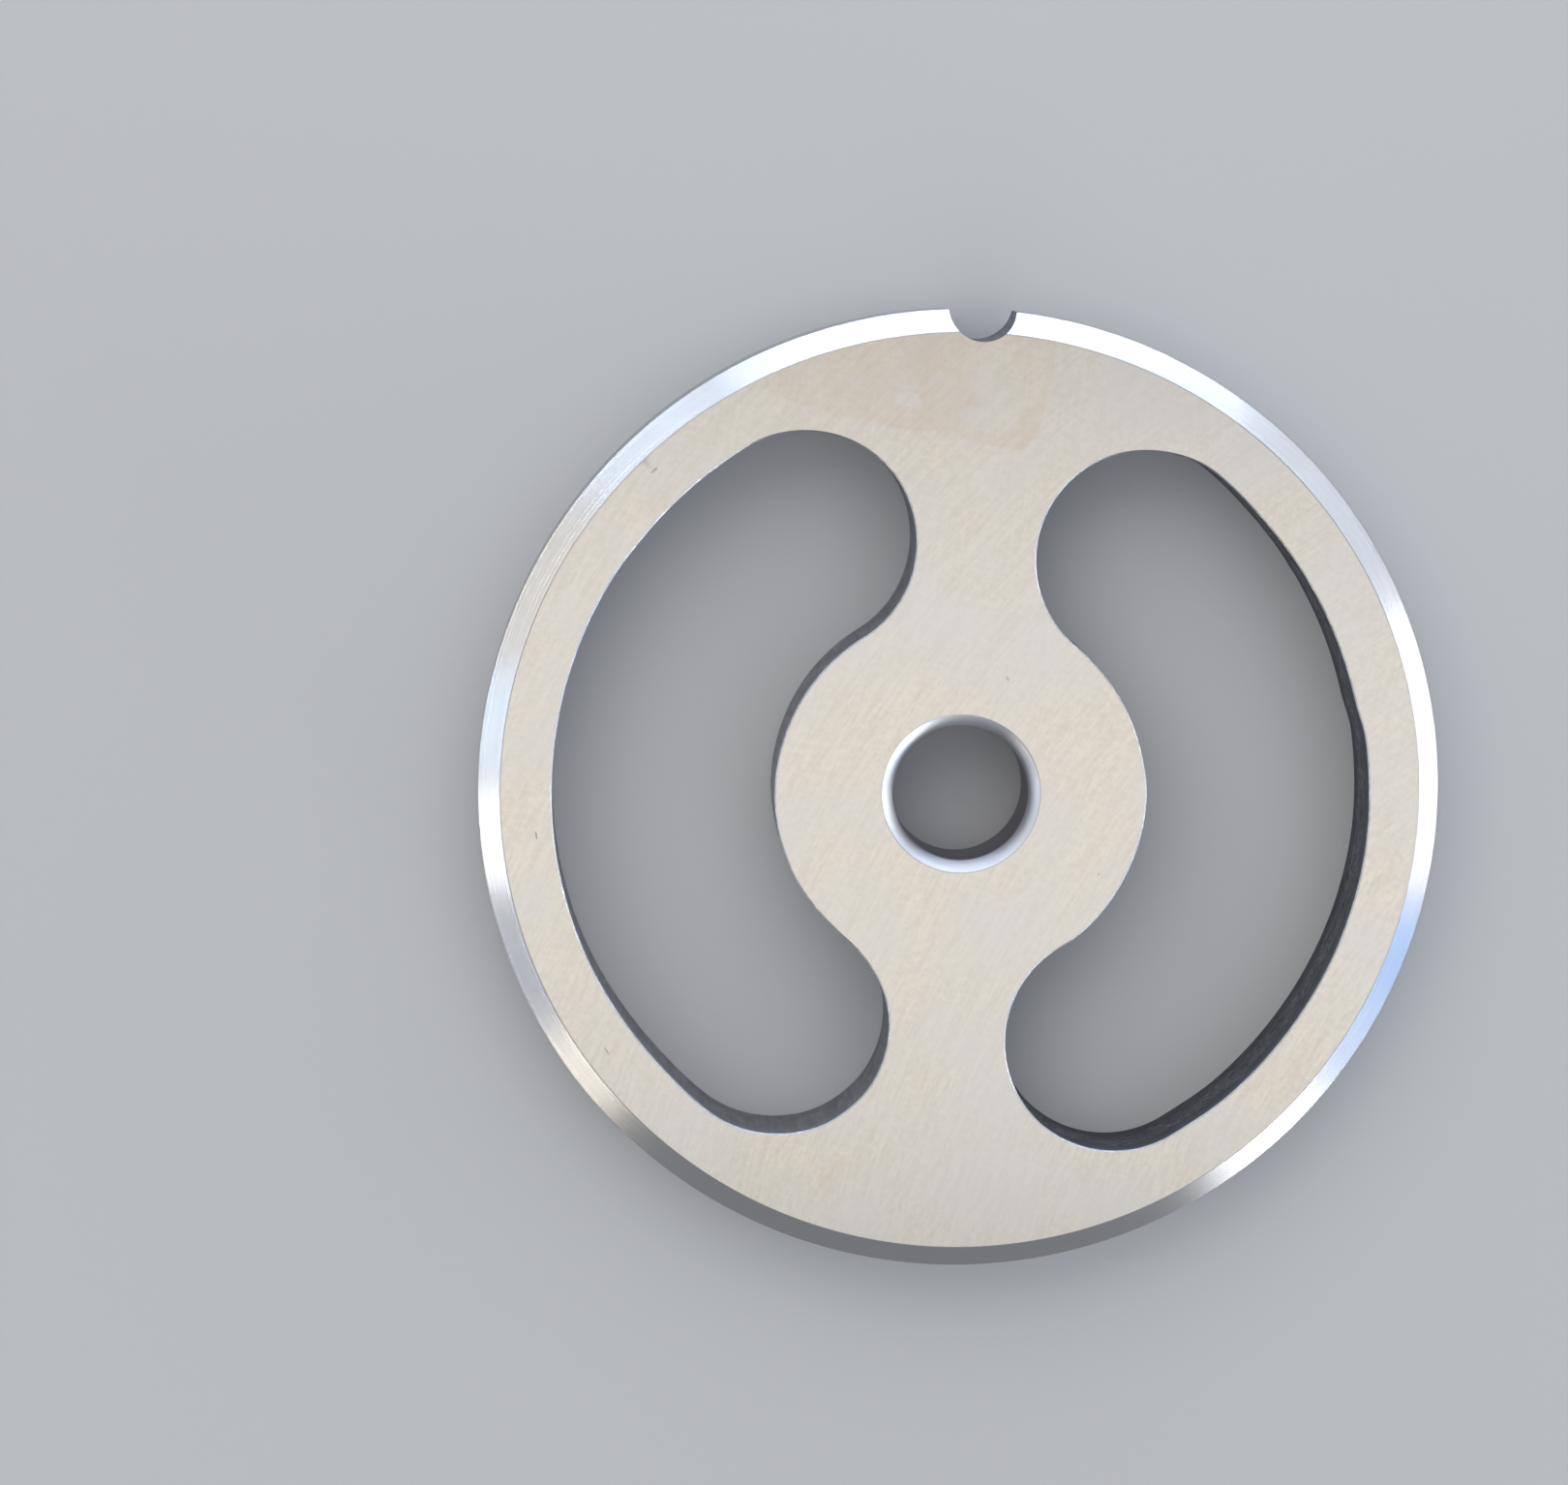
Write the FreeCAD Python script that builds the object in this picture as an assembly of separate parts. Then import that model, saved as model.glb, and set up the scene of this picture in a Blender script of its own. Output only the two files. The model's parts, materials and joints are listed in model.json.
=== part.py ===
import FreeCAD, Part
import math
import os

# Grinder plate with two kidney-shaped openings. It is one piece of steel: a turned disc with a
# bored hub, a web across the middle that joins the hub to the rim, and a half-round notch in
# the rim, where a locating pin stops the plate from turning in its housing.
#
# Frame: the origin is on the plate's axis at the lower face and +Z points up. The web runs
# along Y, with the notch at its +Y end. Lengths are in millimetres, angles in degrees.

# Disc
plate_diameter = 82.0
plate_thickness = 9.0
# The 45 degree chamfer turned on both corners of the rim
rim_chamfer = 1.9

# Hub
hub_diameter = 31.6
bore_diameter = 11.5
# The 45 degree chamfer at both mouths of the bore
bore_chamfer = 1.0

# Openings
# The metal left between an opening and the outside of the rim
rim_width = 6.3
# The metal left between the two openings where the web is narrowest
web_width = 10.2
# The small 45 degree break on the openings' edges, at both faces
opening_edge_break = 0.2

# Notch
notch_width = 5.8
notch_depth = 2.7
# The notch's place about the axis, a little past the web's centreline at 90 degrees
notch_angle = 90.75

# How far each cutting tool passes beyond both faces of the plate
tool_overrun = 1.0

plate_radius = plate_diameter / 2
hub_radius = hub_diameter / 2
bore_radius = bore_diameter / 2
notch_radius = notch_width / 2
tool_height = plate_thickness + 2 * tool_overrun

# The flat faces lie between the bore's mouth and the rim's chamfer.
face_inner_radius = bore_radius + bore_chamfer
face_outer_radius = plate_radius - rim_chamfer

# Each opening is a slot bent about the plate's axis. Its inner side is the hub's outside, its
# outer side is the rim's inside, and a round end of its full width closes it at both ends.
# The web's width sets how far round the axis the slot reaches.
opening_outer_radius = plate_radius - rim_width
opening_end_radius = (opening_outer_radius - hub_radius) / 2
opening_path_radius = (opening_outer_radius + hub_radius) / 2
opening_end_offset = web_width / 2 + opening_end_radius
opening_half_angle = math.degrees(math.acos(opening_end_offset / opening_path_radius))

# Edges of the openings are told from those of the bore and the rim by their distance from
# the axis, which is between these two.
opening_edges_start = (face_inner_radius + hub_radius) / 2
opening_edges_end = (opening_outer_radius + face_outer_radius) / 2

centre = FreeCAD.Vector(0, 0, 0)
up = FreeCAD.Vector(0, 0, 1)


def polar(radius, angle, height=0.0):
    """Gives the point at a radius, an angle and a height about the plate's axis."""
    turn = math.radians(angle)
    return FreeCAD.Vector(radius * math.cos(turn), radius * math.sin(turn), height)


def turned_disc():
    """Turns the section of the rim, the faces and the bore once round the plate's axis."""
    section = [
        (face_inner_radius, 0),
        (face_outer_radius, 0),
        (plate_radius, rim_chamfer),
        (plate_radius, plate_thickness - rim_chamfer),
        (face_outer_radius, plate_thickness),
        (face_inner_radius, plate_thickness),
        (bore_radius, plate_thickness - bore_chamfer),
        (bore_radius, bore_chamfer),
    ]
    corners = [FreeCAD.Vector(radius, 0, height) for radius, height in section]
    outline = Part.makePolygon(corners + corners[:1])
    return Part.Face(outline).revolve(centre, up, 360)


def side_arc(radius):
    """Draws one long side of the +X opening, an arc about the plate's axis."""
    start = polar(radius, -opening_half_angle)
    end = polar(radius, opening_half_angle)
    return Part.Arc(start, polar(radius, 0), end).toShape()


def end_arc(side):
    """Draws one round end of the +X opening: the +Y end where side is 1, the other for -1."""
    angle = opening_half_angle * side
    middle = polar(opening_path_radius, angle)
    tip = middle + polar(opening_end_radius, angle + 90 * side)
    return Part.Arc(polar(opening_outer_radius, angle), tip, polar(hub_radius, angle)).toShape()


def opening_tool():
    """Makes the cutter for the +X opening, which passes through both faces."""
    outline = Part.Wire([side_arc(opening_outer_radius), end_arc(1), side_arc(hub_radius), end_arc(-1)])
    tool = Part.Face(outline).extrude(up * tool_height)
    tool.translate(up * -tool_overrun)
    return tool


def notch_tool():
    """Makes the round cutter for the notch, which enters the rim by the notch's depth."""
    axis_radius = plate_radius - notch_depth + notch_radius
    return Part.makeCylinder(notch_radius, tool_height, polar(axis_radius, notch_angle, -tool_overrun))


def opening_edges(plate):
    """Finds the edges in which the openings meet the two flat faces."""
    found = []
    for edge in plate.Edges:
        middle = edge.valueAt((edge.FirstParameter + edge.LastParameter) / 2)
        level = edge.BoundBox.ZLength < Part.Precision.confusion()
        if level and opening_edges_start < math.hypot(middle.x, middle.y) < opening_edges_end:
            found.append(edge)
    return found


def grinder_plate():
    """Makes the plate: the disc is turned, its openings cut and their edges broken, then the notch."""
    plate = turned_disc()
    for turn in (0, 180):
        tool = opening_tool()
        tool.rotate(centre, up, turn)
        plate = plate.cut(tool)
    plate = plate.makeChamfer(opening_edge_break, opening_edges(plate))
    return plate.cut(notch_tool())


os.makedirs("parts", exist_ok=True)
grinder_plate().exportStep("parts/grinder_plate.step")
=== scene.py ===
import json
import logging
import math
from dataclasses import dataclass
from enum import IntEnum

import bmesh
import bpy
from mathutils import Euler, Matrix, Vector, noise


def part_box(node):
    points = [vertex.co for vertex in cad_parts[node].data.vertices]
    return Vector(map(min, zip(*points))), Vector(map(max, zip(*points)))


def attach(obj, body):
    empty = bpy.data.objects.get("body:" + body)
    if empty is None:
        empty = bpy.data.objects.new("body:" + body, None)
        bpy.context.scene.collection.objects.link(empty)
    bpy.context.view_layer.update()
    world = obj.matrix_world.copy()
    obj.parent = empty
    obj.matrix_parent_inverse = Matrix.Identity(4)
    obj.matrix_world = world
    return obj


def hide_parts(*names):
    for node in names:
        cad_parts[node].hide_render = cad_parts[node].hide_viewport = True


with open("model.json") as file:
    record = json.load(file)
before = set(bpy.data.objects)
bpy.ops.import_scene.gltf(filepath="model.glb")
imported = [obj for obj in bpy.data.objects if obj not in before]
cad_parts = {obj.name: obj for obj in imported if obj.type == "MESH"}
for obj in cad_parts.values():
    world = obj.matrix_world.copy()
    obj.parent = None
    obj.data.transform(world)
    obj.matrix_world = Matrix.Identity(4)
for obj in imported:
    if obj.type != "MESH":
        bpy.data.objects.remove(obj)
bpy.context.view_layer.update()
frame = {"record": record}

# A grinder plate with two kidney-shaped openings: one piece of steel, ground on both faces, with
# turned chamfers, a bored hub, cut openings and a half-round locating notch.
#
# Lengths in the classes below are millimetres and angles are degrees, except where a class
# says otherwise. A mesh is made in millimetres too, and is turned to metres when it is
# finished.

Tree = bpy.types.NodeTree
Socket = bpy.types.NodeSocket

MM = 0.001
NODE = "grinder_plate"
BODY = "root"
# The height of the plate's middle, in millimetres
MIDDLE = (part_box(NODE)[0][2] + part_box(NODE)[1][2]) / 2 / MM
# The plate's axis, seen from above
AXIS = (0.0, 0.0)
# Nearly all values of a noise texture lie between these
NOISE_RANGE = (0.35, 0.65)
# The part of a turn that makes a highlight spread across the tool's lines
ACROSS_GRAIN = 0.25
# An opening's outline has a rim side, a hub side and two round ends
SIDES = 4
# The power of a panel lamp as bright as white, in watts for each square metre
PANEL_POWER = 4.0

log = logging.getLogger("scene")


def linear(code: str) -> tuple[float, float, float, float]:
    """Turns an sRGB hex colour into the linear colour that Blender's sockets take.

    Args:
        code: Six hex digits, with or without a leading number sign.

    Returns:
        Red, green, blue and an alpha of 1.
    """
    parts = [int(code.lstrip("#")[i:i + 2], 16) / 255 for i in (0, 2, 4)]
    light = [c / 12.92 if c <= 0.04045 else ((c + 0.055) / 1.055) ** 2.4 for c in parts]
    return (*light, 1.0)


def add_node(
    tree: Tree, kind: str, inputs: dict[int | str, object] | None = None, **settings: object
) -> bpy.types.Node:
    """Adds one node to a tree.

    Args:
        tree: The tree that gets the node.
        kind: Blender's name for the type of node.
        inputs: For each input its value, the output socket that it is linked to, or a node
            whose first output it is linked to.
        settings: The node's own properties.

    Returns:
        The new node.
    """
    node = tree.nodes.new(kind)
    for name, value in settings.items():
        setattr(node, name, value)
    for key, value in (inputs or {}).items():
        if isinstance(value, bpy.types.Node):
            value = value.outputs[0]
        if isinstance(value, Socket):
            tree.links.new(value, node.inputs[key])
        else:
            node.inputs[key].default_value = value
    return node


def mount(name: str) -> dict:
    """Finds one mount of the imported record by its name."""
    return next(entry for entry in frame["record"]["mounts"] if entry["name"] == name)


def polar(tree: Tree, place: Socket, centre: tuple[float, float]) -> tuple[Socket, Socket]:
    """Gives how far a place is from a centre, and at what angle about it, seen from above.

    Args:
        tree: The material's tree.
        place: The place on the plate, in millimetres.
        centre: The centre, in millimetres.

    Returns:
        The distance in millimetres and the angle in radians.
    """
    away = add_node(
        tree, "ShaderNodeVectorMath", {0: place, 1: (*centre, 0.0)}, operation="SUBTRACT"
    )
    arm = add_node(
        tree, "ShaderNodeVectorMath", {0: away, 1: (1.0, 1.0, 0.0)}, operation="MULTIPLY"
    )
    reach = add_node(tree, "ShaderNodeVectorMath", {0: arm}, operation="LENGTH")
    axes = add_node(tree, "ShaderNodeSeparateXYZ", {0: arm})
    turn = add_node(
        tree, "ShaderNodeMath", {0: axes.outputs[1], 1: axes.outputs[0]}, operation="ARCTAN2"
    )
    return reach.outputs["Value"], turn.outputs[0]


def from_middle(tree: Tree, place: Socket) -> Socket:
    """Gives how far a place is above or below the plate's middle.

    Args:
        tree: The material's tree.
        place: The place on the plate, in millimetres.

    Returns:
        The distance in millimetres, which is never negative.
    """
    axes = add_node(tree, "ShaderNodeSeparateXYZ", {0: place})
    lift = add_node(tree, "ShaderNodeMath", {0: axes.outputs[2], 1: MIDDLE}, operation="SUBTRACT")
    return add_node(tree, "ShaderNodeMath", {0: lift}, operation="ABSOLUTE").outputs[0]


class Zone(IntEnum):
    """The plate's surfaces by how they were made.

    The number is the material's place on the mesh.
    """

    GROUND = 0
    TURNED = 1
    COUNTERSUNK = 2
    BORED = 3
    DEBURRED = 4
    ROUGH_CUT = 5
    SMOOTH_CUT = 6
    MILLED = 7
    NICKED = 8


@dataclass(frozen=True)
class Finish:
    """A finish of bare steel. One pattern, from 0 to 1, sets its tone, roughness and relief.

    The play is how far the pattern moves the roughness up or down, and the relief is its height.
    """

    name: str
    dark_tone: str
    light_tone: str
    roughness: float
    play: float
    relief: float
    anisotropy: float = 0.0

    def pattern(self, tree: Tree, place: Socket) -> Socket:
        """Draws the finish's pattern.

        Args:
            tree: The material's tree.
            place: The place on the plate, in millimetres.

        Returns:
            The pattern, from 0 to 1.
        """
        raise NotImplementedError

    def tone(self, tree: Tree, place: Socket, pattern: Socket) -> Socket:
        """Blends the dark and the light tone by the pattern.

        Args:
            tree: The material's tree.
            place: The place on the plate, in millimetres.
            pattern: The finish's pattern.

        Returns:
            The colour.
        """
        blend = {"Factor": pattern, 6: linear(self.dark_tone), 7: linear(self.light_tone)}
        return add_node(tree, "ShaderNodeMix", blend, data_type="RGBA").outputs[2]

    def grain(self, tree: Tree, place: Socket) -> Socket | None:
        """Gives the direction of the tool's lines, or None where the finish has no direction.

        Args:
            tree: The material's tree.
            place: The place on the plate, in millimetres.

        Returns:
            The direction, or None.
        """
        return None

    def make(self) -> bpy.types.Material:
        """Builds the material and returns it."""
        material = bpy.data.materials.new(self.name)
        material.use_nodes = True
        tree = material.node_tree
        tree.nodes.clear()
        coords = add_node(tree, "ShaderNodeTexCoord").outputs["Object"]
        place = add_node(
            tree, "ShaderNodeVectorMath", {0: coords, "Scale": 1 / MM}, operation="SCALE"
        ).outputs[0]
        pattern = self.pattern(tree, place)
        dullness = {
            "Value": pattern,
            "To Min": self.roughness + self.play,
            "To Max": self.roughness - self.play,
        }
        bump = {"Strength": 1.0, "Distance": self.relief * MM, "Height": pattern}
        inputs = {
            "Metallic": 1.0,
            "Base Color": self.tone(tree, place, pattern),
            "Roughness": add_node(tree, "ShaderNodeMapRange", dullness),
            "Normal": add_node(tree, "ShaderNodeBump", bump),
        }
        grain = self.grain(tree, place)
        if grain:
            inputs |= {
                "Anisotropic": self.anisotropy,
                "Anisotropic Rotation": ACROSS_GRAIN,
                "Tangent": grain,
            }
        shader = add_node(tree, "ShaderNodeBsdfPrincipled", inputs)
        add_node(tree, "ShaderNodeOutputMaterial", {"Surface": shader})
        return material


@dataclass(frozen=True)
class MarkSpot:
    """A spot in the water mark: its place, half its width and height, and its strength there."""

    place: tuple[float, float]
    half_width: float
    half_height: float
    gain: float


@dataclass(frozen=True)
class WaterMark:
    """A faint brown mark beside the notch, where water dried on the upper face.

    The edge is its lower boundary, between the sides and the levels. The mark is sharp there,
    over the width of the soft edge, and fades away to the left. In the spots it is stronger or
    weaker than elsewhere. Clouds push its shape about by up to the stray, and vary its strength
    between the two cloud shares. The heights keep it off the lower face.
    """

    tint: str = "#FAEEDF"
    strength: float = 0.48
    edge: tuple[tuple[float, float], ...] = (
        (-24.0, 33.9), (-21.0, 33.3), (-16.1, 32.15), (-12.8, 31.2), (-9.1, 30.75),
        (-5.4, 30.4), (-2.5, 30.3), (-1.3, 29.96), (0.8, 29.34), (2.9, 29.3), (4.3, 30.3),
        (5.0, 32.4), (5.6, 38.5),
    )
    sides: tuple[float, float] = (-24.0, 6.0)
    levels: tuple[float, float] = (28.0, 40.0)
    soft_edge: tuple[float, float] = (-0.1, 0.35)
    fade: tuple[float, float] = (-24.0, -12.0)
    heights: tuple[float, float] = (4.0, 5.0)
    cloud_size: float = 2.2222
    cloud_shares: tuple[float, float] = (0.45, 1.1)
    stray: float = 0.7
    spots: tuple[MarkSpot, ...] = (
        MarkSpot((-6.5, 33.1), 1.1, 0.6, 0.1),
        MarkSpot((0.8, 31.9), 2.5, 1.3, 0.25),
        MarkSpot((2.4, 35.8), 3.9, 3.0, 0.3),
        MarkSpot((-0.9, 33.0), 0.6, 0.4, 1.6),
        MarkSpot((3.9, 31.2), 0.9, 1.8, 1.3),
        MarkSpot((-5.0, 31.0), 2.7, 0.75, 1.2),
        MarkSpot((-3.9, 34.4), 1.9, 2.8, 1.25),
    )
    spot_rim: tuple[float, float] = (0.7, 1.25)

    def boundary(self, tree: Tree, across: Socket) -> Socket:
        """Gives the mark's lower boundary.

        Args:
            tree: The material's tree.
            across: The place along X, in millimetres.

        Returns:
            The boundary's place along Y, in millimetres.
        """
        left, right = self.sides
        low, high = self.levels
        share = add_node(
            tree, "ShaderNodeMapRange", {"Value": across, "From Min": left, "From Max": right}
        )
        curve = add_node(tree, "ShaderNodeFloatCurve", {"Factor": 1.0, "Value": share})
        points = curve.mapping.curves[0].points
        knots = [((x - left) / (right - left), (y - low) / (high - low)) for x, y in self.edge]
        for knot in knots[len(points):]:
            points.new(*knot)
        for point, knot in zip(points, knots):
            point.location = knot
        curve.mapping.update()
        return add_node(
            tree, "ShaderNodeMapRange", {"Value": curve, "To Min": low, "To Max": high}
        ).outputs[0]

    def spot_share(self, tree: Tree, place: Socket, spot: MarkSpot) -> Socket:
        """Gives the mark's strength as one spot changes it.

        Args:
            tree: The material's tree.
            place: The place on the plate, in millimetres.
            spot: The spot.

        Returns:
            The spot's strength inside it, and 1 elsewhere.
        """
        away = add_node(
            tree, "ShaderNodeVectorMath", {0: place, 1: (*spot.place, 0.0)}, operation="SUBTRACT"
        )
        span = add_node(
            tree, "ShaderNodeVectorMath",
            {0: away, 1: (1 / spot.half_width, 1 / spot.half_height, 0.0)}, operation="MULTIPLY",
        )
        reach = add_node(tree, "ShaderNodeVectorMath", {0: span}, operation="LENGTH")
        edge = {
            "Value": reach.outputs["Value"],
            "From Min": self.spot_rim[0],
            "From Max": self.spot_rim[1],
            "To Min": spot.gain,
            "To Max": 1.0,
        }
        return add_node(
            tree, "ShaderNodeMapRange", edge, interpolation_type="SMOOTHSTEP"
        ).outputs[0]

    def over(self, tree: Tree, place: Socket, tone: Socket) -> Socket:
        """Lays the mark over a colour.

        Args:
            tree: The material's tree.
            place: The place on the plate, in millimetres.
            tone: The colour of the clean metal.

        Returns:
            The marked colour.
        """
        cloud = add_node(
            tree, "ShaderNodeTexNoise",
            {"Vector": place, "Scale": 1 / self.cloud_size, "Detail": 5.0, "Roughness": 0.6},
        )
        push = {
            0: cloud.outputs["Color"],
            1: (2 * self.stray, 2 * self.stray, 0.0),
            2: (-self.stray, -self.stray, 0.0),
        }
        shift = add_node(tree, "ShaderNodeVectorMath", push, operation="MULTIPLY_ADD")
        pushed = add_node(tree, "ShaderNodeVectorMath", {0: place, 1: shift}, operation="ADD")
        across, along, height = add_node(tree, "ShaderNodeSeparateXYZ", {0: pushed}).outputs
        depth = add_node(
            tree, "ShaderNodeMath", {0: along, 1: self.boundary(tree, across)},
            operation="SUBTRACT",
        )
        mask = add_node(
            tree, "ShaderNodeMapRange",
            {"Value": depth, "From Min": self.soft_edge[0], "From Max": self.soft_edge[1]},
            interpolation_type="SMOOTHSTEP",
        )
        upper = add_node(
            tree, "ShaderNodeMapRange",
            {"Value": height, "From Min": self.heights[0], "From Max": self.heights[1]},
        )
        fading = {
            "Value": across,
            "From Min": self.fade[0],
            "From Max": self.fade[1],
            "To Max": self.strength,
        }
        uneven = {
            "Value": cloud,
            "From Min": NOISE_RANGE[0],
            "From Max": NOISE_RANGE[1],
            "To Min": self.cloud_shares[0],
            "To Max": self.cloud_shares[1],
        }
        shares = [
            upper,
            add_node(tree, "ShaderNodeMapRange", fading, interpolation_type="SMOOTHSTEP"),
            add_node(tree, "ShaderNodeMapRange", uneven),
        ]
        shares += [self.spot_share(tree, pushed.outputs[0], spot) for spot in self.spots]
        for share in shares:
            mask = add_node(tree, "ShaderNodeMath", {0: mask, 1: share}, operation="MULTIPLY")
        blend = {"Factor": mask, 6: tone, 7: linear(self.tint)}
        return add_node(
            tree, "ShaderNodeMix", blend, data_type="RGBA", blend_type="MULTIPLY"
        ).outputs[2]


@dataclass(frozen=True)
class WheelPass:
    """One pass of the grinding wheel, which leaves arcs about a far centre.

    The pitch is the distance between the arcs, the length is how far one runs before it fades,
    and the weight is the share of this pass in the pattern.
    """

    centre: tuple[float, float]
    pitch: float
    length: float
    weight: float


@dataclass(frozen=True)
class GroundSteel(Finish):
    """Tool steel off a surface grinder: satin, warm grey, with long faint arcs left by the wheel.

    The real lines are some hundredths of a millimetre apart, too fine to show, so the finest are
    drawn at 0.3 mm. Coarser ones and an even grain lie among them, and cooler patches over them.
    """

    name: str = "tool_steel_surface_ground"
    dark_tone: str = "#CAC4BA"
    light_tone: str = "#D4CFC6"
    roughness: float = 0.2
    play: float = 0.01
    relief: float = 0.0003
    anisotropy: float = 0.3
    passes: tuple[WheelPass, ...] = (
        WheelPass((89.0, -55.0), 0.3, 4.0, 0.3),
        WheelPass((89.0, -55.0), 0.9, 8.0, 0.2),
        WheelPass((-120.0, 40.0), 0.35, 4.0, 0.2),
        WheelPass((-30.0, -150.0), 0.5, 0.8, 0.3),
    )
    contrast: tuple[float, float] = (0.34, 0.66)
    cool_tone: str = "#CCCAC8"
    cool_size: float = 9.0909
    cool_share: float = 0.8
    mark: WaterMark = WaterMark()

    def pattern(self, tree: Tree, place: Socket) -> Socket:
        """Adds up the lines of the wheel's passes.

        Args:
            tree: The material's tree.
            place: The place on the plate, in millimetres.

        Returns:
            The pattern, from 0 to 1.
        """
        total = 0.0
        for sweep in self.passes:
            reach, turn = polar(tree, place, sweep.centre)
            across = add_node(
                tree, "ShaderNodeMath", {0: reach, 1: sweep.pitch}, operation="DIVIDE"
            )
            along = add_node(
                tree, "ShaderNodeMath", {0: turn, 1: math.hypot(*sweep.centre) / sweep.length},
                operation="MULTIPLY",
            )
            spot = add_node(tree, "ShaderNodeCombineXYZ", {0: across, 1: along})
            lines = add_node(
                tree, "ShaderNodeTexNoise",
                {"Vector": spot, "Scale": 1.0, "Detail": 2.0, "Roughness": 0.6},
                noise_dimensions="2D",
            )
            total = add_node(
                tree, "ShaderNodeMath", {0: lines, 1: sweep.weight, 2: total},
                operation="MULTIPLY_ADD",
            )
        spread = {"Value": total, "From Min": self.contrast[0], "From Max": self.contrast[1]}
        return add_node(
            tree, "ShaderNodeMapRange", spread, interpolation_type="SMOOTHSTEP"
        ).outputs[0]

    def tone(self, tree: Tree, place: Socket, pattern: Socket) -> Socket:
        """Blends the tones by the lines, with cooler patches, and lays the water mark over them.

        Args:
            tree: The material's tree.
            place: The place on the plate, in millimetres.
            pattern: The finish's pattern.

        Returns:
            The colour.
        """
        lines = super().tone(tree, place, pattern)
        cloud = add_node(
            tree, "ShaderNodeTexNoise",
            {"Vector": place, "Scale": 1 / self.cool_size, "Detail": 4.0},
        )
        patches = {
            "Value": cloud,
            "From Min": NOISE_RANGE[0],
            "From Max": NOISE_RANGE[1],
            "To Max": self.cool_share,
        }
        share = add_node(tree, "ShaderNodeMapRange", patches)
        blend = {"Factor": share, 6: lines, 7: linear(self.cool_tone)}
        patched = add_node(tree, "ShaderNodeMix", blend, data_type="RGBA").outputs[2]
        return self.mark.over(tree, place, patched)

    def grain(self, tree: Tree, place: Socket) -> Socket:
        """Gives the direction of the main pass.

        Args:
            tree: The material's tree.
            place: The place on the plate, in millimetres.

        Returns:
            The direction.
        """
        centre = (*self.passes[0].centre, 0.0)
        arm = add_node(
            tree, "ShaderNodeVectorMath", {0: place, 1: centre}, operation="SUBTRACT"
        )
        return add_node(
            tree, "ShaderNodeVectorMath", {0: (0.0, 0.0, 1.0), 1: arm}, operation="CROSS_PRODUCT"
        ).outputs[0]


@dataclass(frozen=True)
class TurnedSteel(Finish):
    """Tool steel off a lathe, with fine rings.

    The rings spread a lamp's reflection up and down but not round, so it shows as sharp bright
    bands round the rim. The real feed is about 0.1 mm, and the rings are drawn a little coarser.
    The slant is -1 where the surface leans out from the middle of its height, as on the rim, and
    1 in the bore, so that the rings follow both the chamfers and the straight wall.

    A surface may have one side painted lighter: a painted glint that stands in for a bright
    reflection there. Its middle is at an angle about the axis, and the glint range is how squarely
    a place has to face that way to get the painted glint.
    """

    name: str = "tool_steel_turned"
    dark_tone: str = "#939497"
    light_tone: str = "#A3A3A4"
    roughness: float = 0.3
    play: float = 0.08
    relief: float = 0.003
    anisotropy: float = 0.75
    ring_pitch: float = 0.16
    slant: float = -1.0
    # The painted glint: the angle of its middle, how squarely a place must face it, and its tone
    painted_glint_side: float = 0.0
    painted_glint_range: tuple[float, float] = (0.45, 0.97)
    painted_glint_tone: str = ""

    def pattern(self, tree: Tree, place: Socket) -> Socket:
        """Draws rings about the axis.

        Args:
            tree: The material's tree.
            place: The place on the plate, in millimetres.

        Returns:
            The pattern, from 0 to 1.
        """
        reach, turn = polar(tree, place, AXIS)
        down = add_node(
            tree, "ShaderNodeMath", {0: from_middle(tree, place), 1: self.slant, 2: reach},
            operation="MULTIPLY_ADD",
        )
        ring = add_node(tree, "ShaderNodeMath", {0: down, 1: self.ring_pitch}, operation="DIVIDE")
        spot = add_node(tree, "ShaderNodeCombineXYZ", {0: ring, 1: turn})
        return add_node(
            tree, "ShaderNodeTexNoise", {"Vector": spot, "Scale": 1.0, "Detail": 2.0},
            noise_dimensions="2D",
        ).outputs[0]

    def tone(self, tree: Tree, place: Socket, pattern: Socket) -> Socket:
        """Blends the tones by the rings, and lightens one side with a painted glint, if it has
        one.

        Args:
            tree: The material's tree.
            place: The place on the plate, in millimetres.
            pattern: The finish's pattern.

        Returns:
            The colour.
        """
        rings = super().tone(tree, place, pattern)
        if not self.painted_glint_tone:
            return rings
        # Painted glint: the side that faces the given angle is lightened to stand in for a bright
        # reflection
        turn = polar(tree, place, AXIS)[1]
        off = add_node(
            tree, "ShaderNodeMath", {0: turn, 1: math.radians(self.painted_glint_side)},
            operation="SUBTRACT",
        )
        facing = add_node(tree, "ShaderNodeMath", {0: off}, operation="COSINE")
        share = add_node(
            tree, "ShaderNodeMapRange",
            {"Value": facing, "From Min": self.painted_glint_range[0], "From Max": self.painted_glint_range[1]},
            interpolation_type="SMOOTHSTEP",
        )
        blend = {"Factor": share, 6: rings, 7: linear(self.painted_glint_tone)}
        return add_node(tree, "ShaderNodeMix", blend, data_type="RGBA").outputs[2]

    def grain(self, tree: Tree, place: Socket) -> Socket:
        """Gives the direction of the rings.

        Args:
            tree: The material's tree.
            place: The place on the plate, in millimetres.

        Returns:
            The direction.
        """
        return add_node(tree, "ShaderNodeTangent", direction_type="RADIAL", axis="Z").outputs[0]


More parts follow.
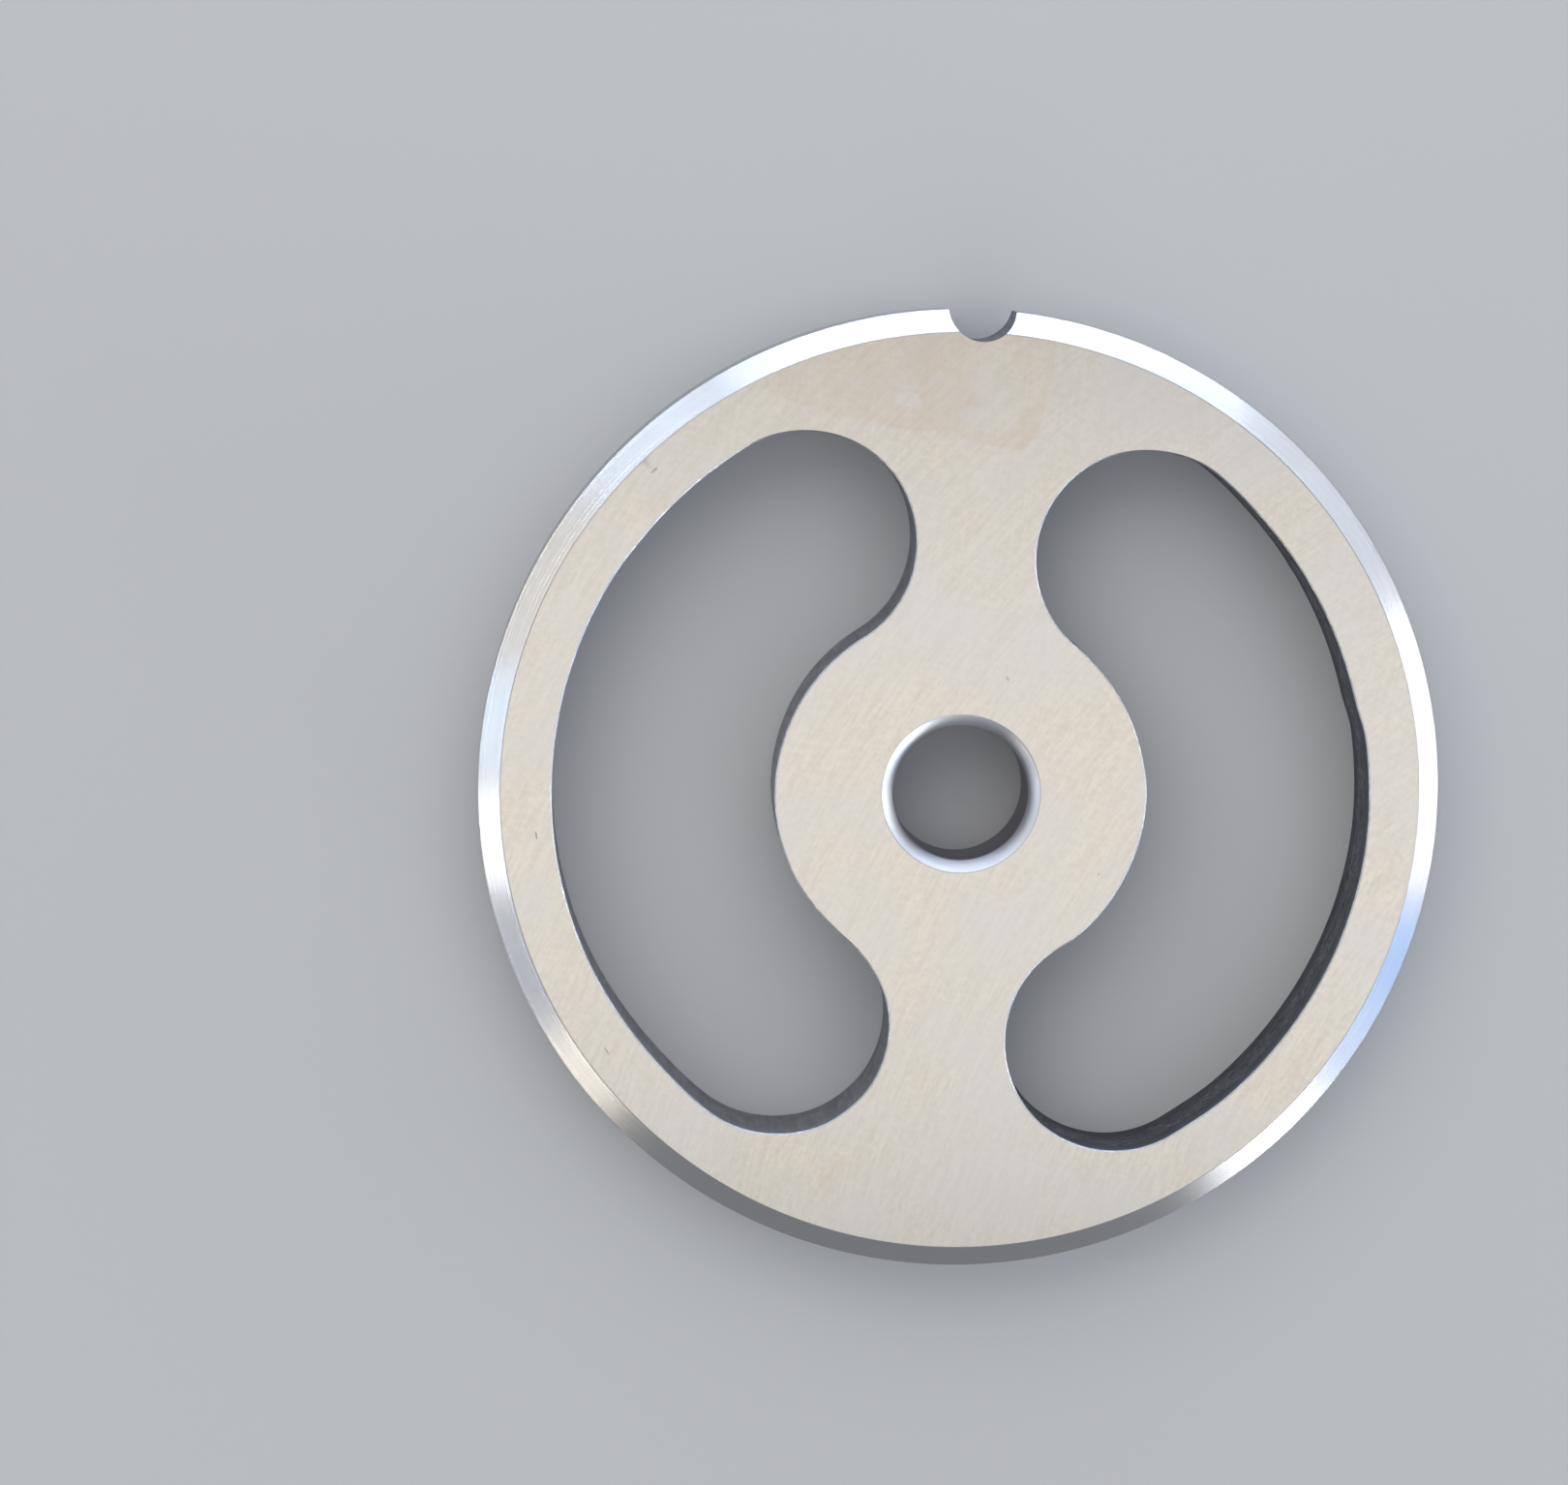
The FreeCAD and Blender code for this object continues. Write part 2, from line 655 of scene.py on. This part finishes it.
@dataclass(frozen=True)
class CutSteel(Finish):
    """Tool steel as a cutter left it: duller than the turned surfaces, and darker, partly by
    painted shade.

    The marks have a width and a height. Only the share of them past the threshold shows as light
    specks, and they gather in patches, between which only the bare share of them is left. The
    skin is the depth below both faces in which the wall is smooth, with the skin share of them,
    and the skin blend is half the depth over which it turns rough. The dark tones are partly the
    steel's own and partly painted shade and reflection: they stand in for the shade in the
    openings and the dark surroundings that the walls mirror.
    """

    name: str = "tool_steel_rough_cut"
    # Partly painted shade: this dark tone also stands in for the shade and dark reflections in the
    # openings
    dark_tone: str = "#585A62"
    light_tone: str = "#989DA7"
    roughness: float = 0.5
    play: float = 0.1
    relief: float = 0.03
    mark_width: float = 0.5
    mark_height: float = 0.4
    threshold: tuple[float, float] = (0.4, 0.76)
    patch_size: float = 2.6
    patch_range: tuple[float, float] = (0.4, 0.58)
    bare_share: float = 0.4
    skin: float = 2.4
    skin_blend: float = 0.6
    skin_share: float = 0.15

    def pattern(self, tree: Tree, place: Socket) -> Socket:
        """Draws the cutter's marks.

        Args:
            tree: The material's tree.
            place: The place on the plate, in millimetres.

        Returns:
            The pattern, from 0 to 1.
        """
        span = (1 / self.mark_width, 1 / self.mark_width, 1 / self.mark_height)
        spot = add_node(tree, "ShaderNodeVectorMath", {0: place, 1: span}, operation="MULTIPLY")
        grit = add_node(
            tree, "ShaderNodeTexNoise",
            {"Vector": spot, "Scale": 1.0, "Detail": 5.0, "Roughness": 0.6},
        )
        specks = add_node(
            tree, "ShaderNodeMapRange",
            {"Value": grit, "From Min": self.threshold[0], "From Max": self.threshold[1]},
        )
        inside = MIDDLE - self.skin
        skin = {
            "Value": from_middle(tree, place),
            "From Min": inside + self.skin_blend,
            "From Max": inside - self.skin_blend,
            "To Min": self.skin_share,
            "To Max": 1.0,
        }
        torn = add_node(tree, "ShaderNodeMapRange", skin, interpolation_type="SMOOTHSTEP")
        cloud = add_node(
            tree, "ShaderNodeTexNoise",
            {"Vector": place, "Scale": 1 / self.patch_size, "Detail": 1.0},
        )
        gathered = {
            "Value": cloud,
            "From Min": self.patch_range[0],
            "From Max": self.patch_range[1],
            "To Min": self.bare_share,
            "To Max": 1.0,
        }
        patches = add_node(tree, "ShaderNodeMapRange", gathered)
        share = add_node(tree, "ShaderNodeMath", {0: torn, 1: patches}, operation="MULTIPLY")
        return add_node(
            tree, "ShaderNodeMath", {0: specks, 1: share}, operation="MULTIPLY"
        ).outputs[0]


@dataclass(frozen=True)
class Wander:
    """How a cut wall strays from its true curve.

    The stray is given at places along the outline, which are counted 0 to 1 along the rim side,
    1 to 2 round the notch's end, 2 to 3 along the hub side and 3 to 4 round the other end. It is
    positive where the opening is wider than drawn. The rough is the height of the finer waves.
    """

    strays: tuple[tuple[float, float], ...]
    rough: float
    finish: Zone

    def at(self, along: float) -> float:
        """Gives the stray at a place along the outline.

        Args:
            along: The place, from 0 to 4.

        Returns:
            The stray in millimetres.
        """
        knots = (*self.strays, (self.strays[0][0] + SIDES, self.strays[0][1]))
        for (start, low), (end, high) in zip(knots, knots[1:]):
            if start <= along <= end:
                part = (along - start) / (end - start)
                return low + (high - low) * part * part * (3 - 2 * part)
        return self.strays[0][1]


RIGHT_WANDER = Wander(
    strays=(
        (0.0, -0.1), (0.09, 0.08), (0.45, 0.19), (0.595, 0.07), (0.65, -0.27), (0.75, -0.25),
        (0.9, -0.2), (1.0, -0.06), (1.17, -0.18), (1.4, -0.03), (1.65, -0.02), (2.0, -0.07),
        (2.07, 0.03), (2.35, 0.09), (2.46, -0.01), (2.7, 0.03), (2.92, -0.02), (3.0, 0.08),
        (3.5, 0.03), (3.83, -0.07),
    ),
    rough=0.09,
    finish=Zone.ROUGH_CUT,
)
LEFT_WANDER = Wander(
    strays=(
        (0.0, -0.07), (0.09, -0.16), (0.3, 0.02), (0.77, 0.08), (0.83, -0.03), (1.0, -0.07),
        (1.17, -0.11), (1.5, 0.03), (1.93, 0.07), (2.3, 0.02), (2.55, -0.05), (2.75, -0.01),
        (2.93, 0.09), (3.05, -0.02), (3.3, 0.19), (3.45, 0.16), (3.6, 0.06), (3.83, -0.1),
    ),
    rough=0.02,
    finish=Zone.SMOOTH_CUT,
)


@dataclass(frozen=True)
class Nick:
    """A nick in the upper face: its place, half its length and width, and its direction."""

    place: tuple[float, float]
    half_length: float
    half_width: float
    turn: float


@dataclass
class GrinderPlate:
    """The plate itself: a turned disc with its openings, notch and nicks cut out of it.

    The turns are the mesh's steps round the axis, and a wall step is the size of a wall's faces.
    A wall's finer waves start at the edge breaks and reach their height over the wave margin;
    their scale is for each millimetre. A rise is the upward part of a face's direction, by
    which flat faces and cones are told from walls. Edges past the sharp angles stay crisp.
    """

    name: str = "ground_plate"
    radius: float = mount("rim")["dims"]["r_mm"]
    rim_wall: float = mount("rim")["dims"]["length_mm"]
    thickness: float = (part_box(NODE)[1][2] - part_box(NODE)[0][2]) / MM
    bore_radius: float = mount("bore")["dims"]["r_mm"]
    bore_wall: float = mount("bore")["dims"]["length_mm"]
    hub_radius: float = 15.8
    rim_width: float = 6.3
    web_width: float = 10.2
    edge_break: float = 0.12
    notch_radius: float = 2.9
    notch_place: tuple[float, float] = tuple(c / MM for c in mount("locating_notch")["pos_m"][:2])
    rim_round: float = 0.06
    round_steps: int = 4
    turns: int = 512
    notch_steps: int = 128
    wall_step: float = 0.36
    wave_margin: float = 0.5
    wave_scale: float = 0.8
    wave_fineness: tuple[float, float, int] = (0.7, 2.0, 3)
    overrun: float = 1.0
    nicks: tuple[Nick, ...] = (
        Nick((-35.8, -5.45), 0.36, 0.08, 104.0),
        Nick((-28.83, -23.61), 0.45, 0.06, -52.0),
        Nick((-27.52, 25.97), 0.36, 0.12, 48.0),
        Nick((3.32, 10.02), 0.24, 0.06, -58.0),
        Nick((12.12, -6.24), 0.1, 0.06, 70.0),
        Nick((14.43, -29.46), 0.12, 0.06, 80.0),
    )
    nick_depth: float = 0.01
    flat_rise: float = 0.97
    cone_rise: float = 0.3
    sharp: float = 30.0
    sharp_wall: float = 40.0
    tool_weld: float = 0.002
    plate_weld: float = 0.0005
    large_face_weight: int = 90

    @property
    def opening_radius(self) -> float:
        """The radius of the openings' rim side."""
        return self.radius - self.rim_width

    @property
    def path_radius(self) -> float:
        """The radius of the line along the middle of an opening."""
        return (self.opening_radius + self.hub_radius) / 2

    @property
    def end_radius(self) -> float:
        """The radius of an opening's round ends."""
        return (self.opening_radius - self.hub_radius) / 2

    @property
    def half_angle(self) -> float:
        """How far round the axis an opening's end circles stand from its middle, in radians."""
        return math.acos((self.web_width / 2 + self.end_radius) / self.path_radius)

    def disc(self) -> bmesh.types.BMesh:
        """Turns the section of rim, faces and bore once round the axis.

        Returns:
            The disc's mesh.
        """
        rim_chamfer = (self.thickness - self.rim_wall) / 2
        bore_chamfer = (self.thickness - self.bore_wall) / 2
        corners = (
            (self.bore_radius + bore_chamfer, 0.0),
            (self.radius - rim_chamfer, 0.0),
            (self.radius, rim_chamfer),
            (self.radius, self.thickness - rim_chamfer),
            (self.radius - rim_chamfer, self.thickness),
            (self.bore_radius + bore_chamfer, self.thickness),
            (self.bore_radius, self.thickness - bore_chamfer),
            (self.bore_radius, bore_chamfer),
        )
        bm = bmesh.new()
        verts = [bm.verts.new((reach, 0.0, height)) for reach, height in corners]
        for start, end in zip(verts, verts[1:] + verts[:1]):
            bm.edges.new((start, end))
        bmesh.ops.bevel(
            bm, geom=verts, offset=self.rim_round, offset_type="OFFSET",
            segments=self.round_steps, profile=0.5, affect="VERTICES", material=-1,
            clamp_overlap=True,
        )
        half_step = Matrix.Rotation(math.pi / self.turns, 3, "Z")
        bmesh.ops.rotate(bm, verts=bm.verts, cent=(0, 0, 0), matrix=half_step)
        bmesh.ops.spin(
            bm, geom=bm.verts[:] + bm.edges[:], cent=(0, 0, 0), axis=(0, 0, 1), angle=2 * math.pi,
            steps=self.turns, use_merge=True, use_duplicate=False,
        )
        bmesh.ops.recalc_face_normals(bm, faces=bm.faces)
        for face in bm.faces:
            if abs(face.normal.z) > self.flat_rise:
                face.material_index = Zone.GROUND
            elif face.calc_center_median().xy.length > self.hub_radius:
                face.material_index = Zone.TURNED
            elif abs(face.normal.z) > self.cone_rise:
                face.material_index = Zone.COUNTERSUNK
            else:
                face.material_index = Zone.BORED
        return bm

    def along(self, place: Vector) -> tuple[float, Vector]:
        """Finds where a point of the +X opening's wall is along the outline.

        Args:
            place: The point.

        Returns:
            The place along the outline, from 0 to 4, and the direction out of the opening.
        """
        angle = math.atan2(place.y, place.x)
        half = self.half_angle
        if abs(angle) <= half:
            out = Vector((math.cos(angle), math.sin(angle), 0.0))
            if place.xy.length > self.path_radius:
                return (angle + half) / (2 * half), out
            return 2 + (half - angle) / (2 * half), -out
        side = math.copysign(1, place.y)
        end = Vector((math.cos(half), math.sin(half) * side, 0.0)) * self.path_radius
        out = Vector((place.x - end.x, place.y - end.y, 0.0)).normalized()
        turn = (math.atan2(out.y * side, out.x) - half) % (2 * math.pi)
        return (1 + turn / math.pi if side > 0 else SIDES - turn / math.pi), out

    def opening_tool(self, wander: Wander, mirrored: bool) -> bmesh.types.BMesh:
        """Makes the cutter for one opening, with its walls as uneven as the real ones.

        Args:
            wander: How the walls stray from the true curve.
            mirrored: True for the opening at -X.

        Returns:
            The cutter's mesh.
        """
        bm = bmesh.new()
        reach, half = self.opening_radius, self.half_angle
        wall_low, wall_high = self.edge_break, self.thickness - self.edge_break
        rows = round((wall_high - wall_low) / self.wall_step)
        flare = self.overrun + self.edge_break
        column = [(flare, -self.overrun)]
        column += [(0.0, wall_low + (wall_high - wall_low) * i / rows) for i in range(rows + 1)]
        column += [(flare, self.thickness + self.overrun)]
        verts = [bm.verts.new((reach + out, 0.0, height)) for out, height in column]
        edges = [bm.edges.new(pair) for pair in zip(verts, verts[1:])]
        bmesh.ops.rotate(bm, verts=verts, cent=(0, 0, 0), matrix=Matrix.Rotation(-half, 3, "Z"))
        ends = [
            Vector((math.cos(half), math.sin(half) * side, 0.0)) * self.path_radius
            for side in (1, -1)
        ]
        origin = Vector((0, 0, 0))
        last = verts + edges
        for centre, angle, length in (
            (origin, 2 * half, 2 * half * reach),
            (ends[0], math.pi, math.pi * self.end_radius),
            (origin, -2 * half, 2 * half * self.hub_radius),
            (ends[1], math.pi, math.pi * self.end_radius),
        ):
            last = bmesh.ops.spin(
                bm, geom=last, cent=centre, axis=(0, 0, 1), angle=angle,
                steps=round(length / self.wall_step), use_merge=False, use_duplicate=False,
            )["geom_last"]
        bmesh.ops.remove_doubles(bm, verts=bm.verts, dist=self.tool_weld)
        for face in bm.faces:
            in_wall = wall_low < face.calc_center_median().z < wall_high
            face.material_index = wander.finish if in_wall else Zone.DEBURRED
        for vert in bm.verts:
            where, out = self.along(vert.co)
            depth = min(vert.co.z - wall_low, wall_high - vert.co.z)
            share = min(max(depth / self.wave_margin, 0.0), 1.0)
            wave = noise.fractal(vert.co * self.wave_scale, *self.wave_fineness)
            vert.co += out * (wander.at(where) + wander.rough * share * wave)
        bmesh.ops.holes_fill(bm, edges=bm.edges, sides=0)
        if mirrored:
            bmesh.ops.scale(bm, vec=(-1, 1, 1), verts=bm.verts)
        bmesh.ops.recalc_face_normals(bm, faces=bm.faces)
        return bm

    def notch_tool(self) -> bmesh.types.BMesh:
        """Makes the round cutter for the locating notch and returns its mesh."""
        bm = bmesh.new()
        bmesh.ops.create_cone(
            bm, cap_ends=True, segments=self.notch_steps, radius1=self.notch_radius,
            radius2=self.notch_radius, depth=self.thickness + 2 * self.overrun,
            matrix=Matrix.Translation((*self.notch_place, self.thickness / 2)),
        )
        for face in bm.faces:
            face.material_index = Zone.MILLED
        return bm

    def nick_tool(self) -> bmesh.types.BMesh:
        """Makes one shallow cutter for each nick in the upper face and returns their mesh."""
        bm = bmesh.new()
        for nick in self.nicks:
            squash = Matrix.Diagonal((nick.half_length, nick.half_width, self.nick_depth, 1.0))
            aim = Matrix.Rotation(math.radians(nick.turn), 4, "Z")
            seat = Matrix.Translation((*nick.place, self.thickness))
            bmesh.ops.create_icosphere(
                bm, subdivisions=3, radius=1.0, matrix=seat @ aim @ squash
            )
        for face in bm.faces:
            face.material_index = Zone.NICKED
        return bm

    def solid(
        self, name: str, parts: list[bmesh.types.BMesh], finishes: list[bpy.types.Material]
    ) -> bpy.types.Object:
        """Puts meshes that don't touch each other into one object.

        Args:
            name: The object's name.
            parts: The meshes, which are used up.
            finishes: The materials, in the order of the zones.

        Returns:
            The object, in millimetres.
        """
        mesh = bpy.data.meshes.new(name)
        whole = bmesh.new()
        for part in parts:
            part.to_mesh(mesh)
            part.free()
            whole.from_mesh(mesh)
        whole.to_mesh(mesh)
        whole.free()
        for finish in finishes:
            mesh.materials.append(finish)
        made = bpy.data.objects.new(name, mesh)
        bpy.context.scene.collection.objects.link(made)
        return made

    def cut(self, plate: bpy.types.Object, tool: bpy.types.Object) -> None:
        """Cuts the tool out of the plate and throws the tool away.

        Args:
            plate: The piece that is cut.
            tool: The cutter.
        """
        change = plate.modifiers.new("cut", "BOOLEAN")
        change.operation, change.solver, change.object = "DIFFERENCE", "EXACT", tool
        change.material_mode = "INDEX"
        graph = bpy.context.evaluated_depsgraph_get()
        result = bpy.data.meshes.new_from_object(plate.evaluated_get(graph))
        plate.modifiers.clear()
        old = plate.data
        plate.data = result
        result.name = self.name
        bpy.data.meshes.remove(old)
        spent = tool.data
        bpy.data.objects.remove(tool)
        bpy.data.meshes.remove(spent)

    def finish_mesh(self, plate: bpy.types.Object) -> None:
        """Cleans the cut mesh, marks its crisp edges, and turns it from millimetres to metres.

        Args:
            plate: The piece.
        """
        bm = bmesh.new()
        bm.from_mesh(plate.data)
        bmesh.ops.remove_doubles(bm, verts=bm.verts, dist=self.plate_weld)
        bmesh.ops.dissolve_degenerate(bm, edges=bm.edges, dist=self.plate_weld)
        bmesh.ops.triangulate(bm, faces=[face for face in bm.faces if len(face.verts) > 4])
        bmesh.ops.recalc_face_normals(bm, faces=bm.faces)
        for face in bm.faces:
            face.smooth = True
        for edge in bm.edges:
            zones = {face.material_index for face in edge.link_faces}
            wall = zones in ({Zone.ROUGH_CUT}, {Zone.SMOOTH_CUT})
            limit = self.sharp_wall if wall else self.sharp
            border = Zone.NICKED in zones and len(zones) > 1
            edge.smooth = not border and math.degrees(edge.calc_face_angle(0.0)) < limit
        bmesh.ops.scale(bm, vec=(MM, MM, MM), verts=bm.verts)
        bm.to_mesh(plate.data)
        bm.free()
        even = plate.modifiers.new("even_faces", "WEIGHTED_NORMAL")
        even.mode, even.weight = "FACE_AREA", self.large_face_weight
        even.keep_sharp = True

    def finishes(self) -> list[bpy.types.Material]:
        """Makes the materials, in the order of the zones."""
        made = {
            Zone.GROUND: GroundSteel(),
            Zone.TURNED: TurnedSteel(),
            # The countersink's lighter side is a painted glint, standing in for a bright
            # reflection there
            Zone.COUNTERSUNK: TurnedSteel(
                name="tool_steel_countersunk", dark_tone="#9FA1A7", light_tone="#AFB2B8",
                roughness=0.48, anisotropy=0.1, slant=1.0, painted_glint_side=116.0, painted_glint_tone="#D9DCE0",
            ),
            Zone.BORED: TurnedSteel(
                name="tool_steel_bored", dark_tone="#75737A", light_tone="#88868D",
                roughness=0.4, anisotropy=0.5, slant=1.0,
            ),
            Zone.DEBURRED: CutSteel(
                name="tool_steel_deburred", dark_tone="#828487", light_tone="#9FA1A4",
                roughness=0.42, relief=0.004, threshold=(0.3, 0.7), skin=0.0,
            ),
            Zone.ROUGH_CUT: CutSteel(),
            Zone.SMOOTH_CUT: CutSteel(
                name="tool_steel_smooth_cut", dark_tone="#82838B", light_tone="#96979F",
                roughness=0.42, relief=0.002, mark_width=0.6, mark_height=5.0,
                threshold=(0.3, 0.7), skin=0.0,
            ),
            Zone.MILLED: CutSteel(
                name="tool_steel_milled", dark_tone="#5A5E69", light_tone="#737883",
                roughness=0.38, relief=0.008, mark_width=0.25, mark_height=6.0,
                threshold=(0.3, 0.7), skin=0.0,
            ),
            Zone.NICKED: CutSteel(
                name="tool_steel_nicked", dark_tone="#B4B0AA", light_tone="#CCC8C1",
                roughness=0.35, relief=0.002, threshold=(0.3, 0.7), skin=0.0,
            ),
        }
        return [made[zone].make() for zone in Zone]

    def build(self) -> bpy.types.Object:
        """Makes the plate, gives it its finishes and sets it in the frame.

        Returns:
            The finished piece.
        """
        finishes = self.finishes()
        plate = self.solid(self.name, [self.disc()], finishes)
        tools = [
            self.opening_tool(RIGHT_WANDER, mirrored=False),
            self.opening_tool(LEFT_WANDER, mirrored=True),
            self.notch_tool(),
            self.nick_tool(),
        ]
        self.cut(plate, self.solid("cutters", tools, finishes))
        self.finish_mesh(plate)
        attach(plate, BODY)
        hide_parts(NODE)
        return plate


@dataclass(frozen=True)
class Lamp:
    """A soft panel lamp that faces the plate, seen by the metal but not by the camera.

    Its place is given by the angles that it fills, as seen from the plate, and its distance in
    metres. Azimuth counts from +X towards +Y, and the strength is the panel's brightness, where
    1 is white. The chamfers mirror the room at the height of the horizon, so most lamps are low
    strips, which the flat faces don't mirror unless they are seen from very low.
    """

    name: str
    azimuth: float
    spread: float
    strength: float
    colour: str = "#FFFFFF"
    low: float = 1.0
    high: float = 4.0
    distance: float = 2.5

    def place(self) -> None:
        """Hangs the lamp and turns it to the plate."""
        width = 2 * self.distance * math.tan(math.radians(self.spread / 2))
        height = 2 * self.distance * math.tan(math.radians((self.high - self.low) / 2))
        light = bpy.data.lights.new(self.name, "AREA")
        light.shape, light.size, light.size_y = "RECTANGLE", width, height
        light.energy = self.strength * PANEL_POWER * width * height
        light.color = linear(self.colour)[:3]
        turn, rise = math.radians(self.azimuth), math.radians((self.low + self.high) / 2)
        level = math.cos(rise)
        way = Vector((math.cos(turn) * level, math.sin(turn) * level, math.sin(rise)))
        lamp = bpy.data.objects.new(self.name, light)
        lamp.location = way * self.distance
        lamp.rotation_euler = way.to_track_quat("Z", "Y").to_euler()
        lamp.visible_camera = False
        bpy.context.scene.collection.objects.link(lamp)


@dataclass
class Studio:
    """The camera, the pale floor, the lamps and the world.

    The camera's clip distances and the floor's reach are in metres.
    """

    lens: float = 122.22
    camera_place: tuple[float, float, float] = (-35.53, 50.24, 456.95)
    camera_turn: tuple[float, float, float] = (-6.08, -2.24, 3.302)
    clip: tuple[float, float] = (0.01, 50.0)
    floor_colour: str = "#C4C7CB"
    floor_roughness: float = 0.8
    floor_reach: float = 4.0
    floor_gap: float = 0.02
    fill_strength: float = 0.49
    lamps: tuple[Lamp, ...] = (
        Lamp("overhead", -90, 80, 0.545, "#FFF7EC", 76.5, 91, 1.1),
        Lamp("right_skylight", -5, 60, 0.2, "#A0C2FF", 45, 74, 1.0),
        Lamp("key", 110, 70, 0.9, "#FFFBF5", 27, 68, 1.0),
        Lamp("top_window", 87, 73, 23.0, "#E2ECFF", 1.0, 5.5),
        Lamp("upper_left_wall", 136, 22, 21.3, "#E4EFFF"),
        Lamp("left_wall", 160, 26, 14.2, "#FFF8EC"),
        Lamp("left_sky", 180, 14, 22.0, "#E2F0FF"),
        Lamp("left_window", -164.5, 14, 29.5),
        Lamp("low_left_wall", -147, 18, 9.7, "#F2F3FF"),
        Lamp("low_left_window", -132.5, 12, 26.5, "#FFF3E0"),
        Lamp("low_right_window", -46, 14, 63.0),
        Lamp("low_right_sky", -33, 11, 35.5, "#C8DDFF"),
        Lamp("right_sky", -21.5, 12, 32.5, "#A0C8FF"),
        Lamp("right_window", 1.5, 33, 30.5, "#FFFFFF", 1.0, 5.5),
        Lamp("upper_right_wall", 35, 34, 17.3, "#EAF2FD"),
    )

    def camera(self) -> None:
        """Sets the camera at the photograph's viewing angle."""
        data = bpy.data.cameras.new("camera")
        data.lens = self.lens
        data.clip_start, data.clip_end = self.clip
        eye = bpy.data.objects.new("camera", data)
        eye.location = Vector(self.camera_place) * MM
        eye.rotation_euler = Euler(math.radians(a) for a in self.camera_turn)
        bpy.context.scene.collection.objects.link(eye)
        bpy.context.scene.camera = eye

    def floor(self) -> None:
        """Lays a plain pale floor just under the plate."""
        material = bpy.data.materials.new("matt_painted_board")
        material.use_nodes = True
        tree = material.node_tree
        tree.nodes.clear()
        paint = {"Base Color": linear(self.floor_colour), "Roughness": self.floor_roughness}
        shader = add_node(tree, "ShaderNodeBsdfPrincipled", paint)
        add_node(tree, "ShaderNodeOutputMaterial", {"Surface": shader})
        bm = bmesh.new()
        bmesh.ops.create_grid(bm, x_segments=1, y_segments=1, size=self.floor_reach)
        bmesh.ops.translate(bm, vec=(0, 0, -self.floor_gap * MM), verts=bm.verts)
        mesh = bpy.data.meshes.new("floor")
        bm.to_mesh(mesh)
        bm.free()
        mesh.materials.append(material)
        board = bpy.data.objects.new("floor", mesh)
        bpy.context.scene.collection.objects.link(board)

    def world(self) -> None:
        """Fills the room with even light, and shows the camera and the metal a pale background."""
        world = bpy.data.worlds.new("room")
        world.use_nodes = True
        tree = world.node_tree
        tree.nodes.clear()
        path = add_node(tree, "ShaderNodeLightPath").outputs
        seen = path["Is Camera Ray"]
        for ray in ("Is Glossy Ray", "Is Transmission Ray"):
            seen = add_node(tree, "ShaderNodeMath", {0: seen, 1: path[ray]}, operation="MAXIMUM")
        even = {"Color": (1, 1, 1, 1), "Strength": self.fill_strength}
        wall = {"Color": linear(self.floor_colour), "Strength": 1.0}
        fill = add_node(tree, "ShaderNodeBackground", even)
        pale = add_node(tree, "ShaderNodeBackground", wall)
        mix = add_node(tree, "ShaderNodeMixShader", {0: seen, 1: fill, 2: pale})
        add_node(tree, "ShaderNodeOutputWorld", {"Surface": mix})
        bpy.context.scene.world = world

    def build(self) -> None:
        """Sets up everything round the plate."""
        bpy.context.scene.view_settings.view_transform = "Standard"
        self.camera()
        self.floor()
        self.world()
        for lamp in self.lamps:
            lamp.place()


def main() -> None:
    """Builds the studio and the plate."""
    logging.basicConfig(level=logging.INFO, format="%(message)s")
    Studio().build()
    plate = GrinderPlate().build()
    log.info("%s: %d faces", plate.name, len(plate.data.polygons))


if __name__ == "__main__":
    main()
